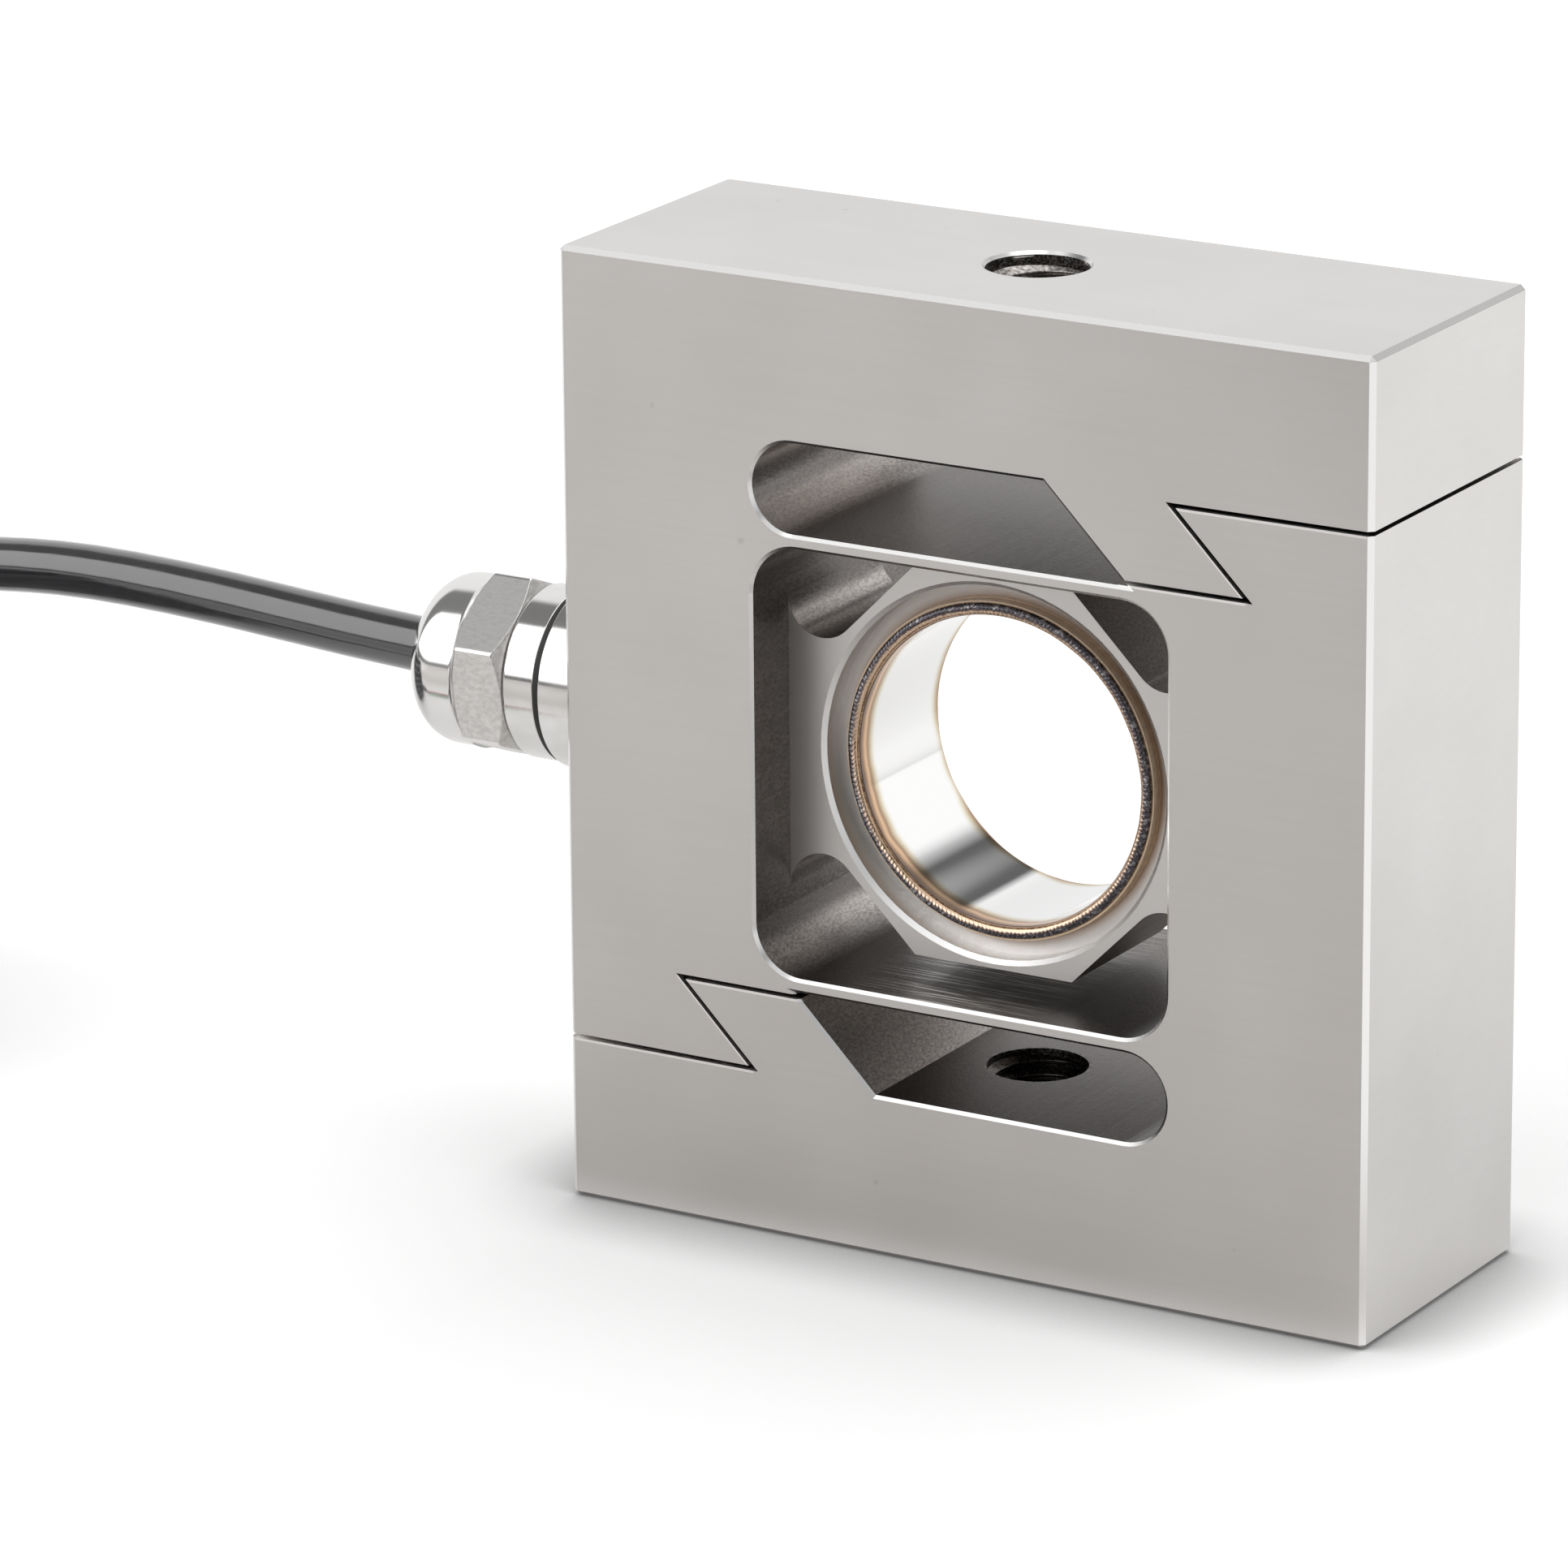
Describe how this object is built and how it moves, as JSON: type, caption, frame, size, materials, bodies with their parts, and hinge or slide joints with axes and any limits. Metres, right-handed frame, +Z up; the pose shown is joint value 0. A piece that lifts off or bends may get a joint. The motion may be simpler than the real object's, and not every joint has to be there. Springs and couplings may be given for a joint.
{
  "type": "s type load cell",
  "caption": "S shaped stainless steel load cell block with overload slots, a thin web with a welded round gauge bore, threaded ends and a cable gland with its lead on one side.",
  "frame": {"origin": "mouth of the lower end thread, at the middle of the bottom face, which the cell stands on", "axes": "+Z up along the line of force, +X to the right along the front face and away from the cable gland, +Y from the front face to the back"},
  "size_m": [0.1948, 0.0687, 0.077],
  "materials": {
    "satin_steel": "satin ground",
    "polished_steel": "polished",
    "weld_steel": "rippled, heat tinted",
    "gauge_foil": "amber film",
    "tab_brass": "tinned copper",
    "enamel_wire": "enamelled",
    "resistor_body": "glossy",
    "core_insulation": "smooth",
    "resin": "cast",
    "seal_rubber": "matte",
    "ring_plastic": "smooth",
    "cable_jacket": "glossy",
    "tie_fabric": "woven",
    "shrink_sleeve": "satin",
    "core_red": "smooth",
    "core_black": "smooth",
    "core_green": "smooth",
    "core_white": "smooth",
    "tinned_wire": "twisted"
  },
  "bodies": {
    "root": {"spring_body": "satin_steel", "gauge_sleeve": "polished_steel", "front_weld_bead": "weld_steel", "rear_weld_bead": "weld_steel", "strain_gauge_1": "gauge_foil", "strain_gauge_2": "gauge_foil", "strain_gauge_3": "gauge_foil", "strain_gauge_4": "gauge_foil", "terminal_tabs": "tab_brass", "bridge_wires": "enamel_wire", "span_resistor": "resistor_body", "zero_resistor": "resistor_body", "inner_cores": "core_insulation", "potting_plug": "resin", "gland_boss": "polished_steel", "gland_o_ring": "seal_rubber", "gland_body": "polished_steel", "seal_insert": "seal_rubber", "pressure_ring": "ring_plastic", "gland_nut": "polished_steel", "cable_lead": "cable_jacket", "cable_coil": "cable_jacket", "coil_tie": "tie_fabric", "heat_shrink": "shrink_sleeve", "core_red": "core_red", "core_black": "core_black", "core_green": "core_green", "core_white": "core_white", "shield_lead": "tinned_wire"}
  },
  "joints": []
}
